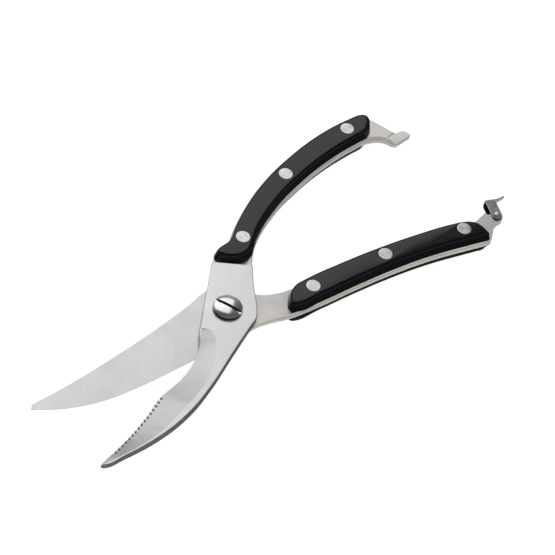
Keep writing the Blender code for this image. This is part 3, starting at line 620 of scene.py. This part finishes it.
def centre_of(node):
    """Middle of a CAD node's box."""
    low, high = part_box(node)
    return (Vector(low) + Vector(high)) / 2


def rivet(node, side):
    """Turned rivet head, flush with its scale, and its shank."""
    low, high = (Vector(corner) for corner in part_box(node))
    middle = (low + high) / 2
    length = (high.z - low.z) / MM
    head = [(0, 0), (0.2, 0), (1.2, -0.004), (2.2, 0), (2.9, -0.006), (3.2, -0.012),
            (3.3, -0.035), (3.38, -0.09), (RIVET_R, -0.18), (RIVET_R, -1.3), (2.0, -1.3),
            (2.0, -length + 0.1), (1.9, -length), (0, -length)]
    made = lathe(node + "_look", head, 64, 50)
    if side < 0:
        made.data.transform(Matrix.Rotation(math.pi, 4, "X"))
    made.data.transform(Matrix.Translation((middle.x, middle.y, high.z if side > 0 else low.z)))
    return show(made, node, [turned_face(node + "_steel", (middle.x, middle.y, 0))])


for handle in ("upper", "lower"):
    places = [centre_of(f"{handle}_rivet_{n}_front") for n in (1, 2, 3)]
    scale(handle + "_front_scale", 1, places)
    scale(handle + "_back_scale", -1, places)
    for number in (1, 2, 3):
        rivet(f"{handle}_rivet_{number}_front", 1)
        rivet(f"{handle}_rivet_{number}_back", -1)

# ---------------------------------------------------------------- pivot and latch
# Sizes in mm, heights above the pivot's origin, angles in degrees from +X.
HEAD_R = 6.6
HEAD_SEAT = 4.4
HEAD_RIM = 5.3
DOME = 1.43
SLOT_WIDTH = 1.5
SLOT_FLOOR = 5.4
SLOT_ANGLE = 109.2
SLOT_INSIDE_R = 6.2            # the slot's walls lie within this radius
BAIL_ANGLE = 66.0              # from the latch pin to the bail's web
TAB_FROM = -2.5                # the thumb tab lies beyond this, across the bail
WEB_FROM = 5.0                 # the web lies further than this from the pin
CHEEK_INSIDE = 3.3             # half the height within which the web's inner face lies


def pivot_screw():
    """Domed, slotted head on a shank that narrows to the nut's thread."""
    profile = [(0, HEAD_RIM + DOME)]
    profile += [(HEAD_R * math.cos(math.radians(a)), HEAD_RIM + DOME * math.sin(math.radians(a)))
                for a in range(85, 4, -5)]
    profile += [(HEAD_R, HEAD_RIM), (HEAD_R, HEAD_SEAT + 0.1), (HEAD_R - 0.1, HEAD_SEAT),
                (3.0, HEAD_SEAT), (3.0, -4.0), (2.5, -4.3), (2.5, -8.05), (2.1, -8.45), (0, -8.45)]
    made = lathe("pivot_screw_look", profile, 96, 40)
    bm = bmesh.new()
    place = (Matrix.Rotation(math.radians(SLOT_ANGLE), 4, "Z")
             @ Matrix.Translation((0, 0, (SLOT_FLOOR + 2) * MM))
             @ Matrix.Diagonal((20 * MM, SLOT_WIDTH * MM, 4 * MM, 1)))
    bmesh.ops.create_cube(bm, size=1.0, matrix=place)
    cut_away(made, to_object(bm, "cutter"))
    made.data.shade_smooth()
    made.data.set_sharp_from_angle(angle=math.radians(40))
    soften(made, 0.08, 40)
    made.data.transform(Matrix.Translation(PIVOT))
    return made


screw = show(pivot_screw(), "pivot_screw", [SCREW, PAINTED_SHADE_STEEL])
for polygon in screw.data.polygons:
    reach = in_pivot_frame(polygon.center)
    steep = abs(polygon.normal.z)
    # The slot's walls and the head's rim get near-black painted shade.
    in_slot = reach.z > HEAD_RIM and steep < 0.2 and reach.xy.length < SLOT_INSIDE_R
    if in_slot or (reach.z < HEAD_RIM + 0.12 and steep < 0.6):
        polygon.material_index = 1
show(refined("pivot_nut", 0.25), "pivot_nut", [PLAIN])
show(refined("pivot_washer", 0.12), "pivot_washer", [PLAIN])
show(refined("stop_pin", 0.1), "stop_pin", [PLAIN])
show(refined("torsion_spring", 0.02, 0.1, 60), "torsion_spring", [WIRE])
show(refined("latch_pin", 0.08), "latch_pin", [FACE])
bail = show(refined("latch_bail", 0.16), "latch_bail", [CHROME, EDGE, PAINTED_SHADE_STEEL])
bail_middle = centre_of("latch_bail").z
along_bail = Vector((math.cos(math.radians(BAIL_ANGLE)), math.sin(math.radians(BAIL_ANGLE)), 0))
across_bail = Vector((-along_bail.y, along_bail.x, 0))
for polygon in bail.data.polygons:
    reach = (polygon.center - LATCH) / MM
    height = polygon.center.z - bail_middle
    # The inner faces of the bail's cheeks and web get near-black painted shade.
    inner_cheek = polygon.normal.z * height < -0.5 * abs(height)
    inner_web = (polygon.normal.dot(along_bail) < -0.6 and reach.length > WEB_FROM
                 and abs(height) < CHEEK_INSIDE * MM)
    if reach.dot(across_bail) < TAB_FROM:
        polygon.material_index = 1
    elif inner_cheek or inner_web:
        polygon.material_index = 2

# ---------------------------------------------------------------- stage
floor_mesh = bpy.data.meshes.new("floor")
bm = bmesh.new()
bmesh.ops.create_grid(bm, x_segments=1, y_segments=1, size=3.0)
bm.to_mesh(floor_mesh)
bm.free()
floor = bpy.data.objects.new("floor", floor_mesh)
bpy.context.scene.collection.objects.link(floor)
floor.location.z = -0.3 * MM
floor.visible_glossy = False
stage_look = bpy.data.materials.new("stage")
stage_look.use_nodes = True
stage_shader = stage_look.node_tree.nodes["Principled BSDF"]
stage_shader.inputs["Base Color"].default_value = (0.93, 0.93, 0.93, 1)
stage_shader.inputs["Roughness"].default_value = 0.9
stage_shader.inputs["Specular IOR Level"].default_value = 0.0
stage_shader.inputs["Emission Color"].default_value = (1, 1, 1, 1)
stage_shader.inputs["Emission Strength"].default_value = 0.88
floor_mesh.materials.append(stage_look)

# Directions in world axes.
SWEEP = (0.26, 0.966, 0.0)                  # middle of a bright sweep, level
MIRRORED = Vector((0.525, 0.381, 0.761))    # where a level face reflects the camera's view

world = bpy.data.worlds.new("studio")
bpy.context.scene.world = world
world.use_nodes = True
tree = world.node_tree


def ramp(value, low, high, out_low, out_high, kind="SMOOTHSTEP"):
    """A value mapped from one range to another."""
    made = tree.nodes.new("ShaderNodeMapRange")
    made.interpolation_type = kind
    tree.links.new(value, made.inputs["Value"])
    for name, number in (("From Min", low), ("From Max", high),
                         ("To Min", out_low), ("To Max", out_high)):
        made.inputs[name].default_value = number
    return made.outputs[0]


def joined(operation, first, second):
    """Two values added or multiplied."""
    made = tree.nodes.new("ShaderNodeMath")
    made.operation = operation
    tree.links.new(first, made.inputs[0])
    tree.links.new(second, made.inputs[1])
    return made.outputs[0]


direction = tree.nodes.new("ShaderNodeTexCoord").outputs["Generated"]
facing_node = tree.nodes.new("ShaderNodeVectorMath")
facing_node.operation = "DOT_PRODUCT"
tree.links.new(direction, facing_node.inputs[0])
facing_node.inputs[1].default_value = SWEEP
facing = facing_node.outputs["Value"]
rise_node = tree.nodes.new("ShaderNodeSeparateXYZ")
tree.links.new(direction, rise_node.inputs[0])
rise = rise_node.outputs[2]

# The sweep is stronger below the horizon, where only grazing rounded edges see it.
SWEEP_LIGHT = 0.26
SWEEP_BELOW = 3.2
sweep = ramp(facing, 0.3, 0.85, 0.0, SWEEP_LIGHT)
above = ramp(rise, -0.02, 0.12, SWEEP_BELOW, 1.0)
ambient = ramp(above, SWEEP_BELOW, 1.0, 0.05, 0.12, "LINEAR")
# A low wall of light round the rest of the studio.
low_down = ramp(rise, 0.55, 0.35, 0.0, 1.0)
off_floor = ramp(rise, 0.0, 0.12, 0.0, 1.0, "LINEAR")
opposite = ramp(facing, 0.0, -0.35, 0.0, 0.24)
wall_light = joined("MULTIPLY", joined("MULTIPLY", opposite, low_down), off_floor)
sky = joined("ADD", joined("MULTIPLY", sweep, above), joined("ADD", ambient, wall_light))
tree.links.new(sky, tree.nodes["Background"].inputs["Color"])
tree.nodes["Background"].inputs["Strength"].default_value = 1.0


def softbox(name, toward, distance, shift, size, radiance):
    """Rectangular lamp facing the pivot; shift and size are along its level and rising sides."""
    lamp = bpy.data.lights.new(name, "AREA")
    lamp.shape = "RECTANGLE"
    lamp.size, lamp.size_y = size
    lamp.energy = radiance * math.pi * size[0] * size[1]
    made = bpy.data.objects.new(name, lamp)
    bpy.context.scene.collection.objects.link(made)
    away = Vector(toward).normalized()
    level = Vector((0, 0, 1)).cross(away).normalized()
    rising = away.cross(level)
    place = Matrix((level, rising, away)).transposed().to_4x4()
    place.translation = PIVOT + away * distance + level * shift[0] + rising * shift[1]
    made.matrix_world = place
    return made


softbox("key", MIRRORED, 1.5, (0.545, 0.1), (1.39, 1.1), 1.0)
fill = softbox("front_fill", (-0.75, -0.6, 0.45), 1.6, (0.0, 0.0), (1.6, 0.9), 0.9)
fill.visible_glossy = False

camera_data = bpy.data.cameras.new("camera")
camera_data.lens = CAMERA_LENS
camera_data.sensor_width = SENSOR
camera_data.clip_start = 0.05
camera = bpy.data.objects.new("camera", camera_data)
bpy.context.scene.collection.objects.link(camera)
camera.matrix_world = (Matrix.Translation(PIVOT + Vector(CAMERA_FROM_PIVOT) * MM)
                       @ Matrix.Rotation(math.radians(CAMERA_AZIMUTH), 4, "Z")
                       @ Matrix.Rotation(math.radians(90.0 - CAMERA_ELEVATION), 4, "X")
                       @ Matrix.Rotation(math.radians(CAMERA_ROLL), 4, "Z"))
bpy.context.scene.camera = camera
bpy.context.scene.view_settings.view_transform = "Standard"
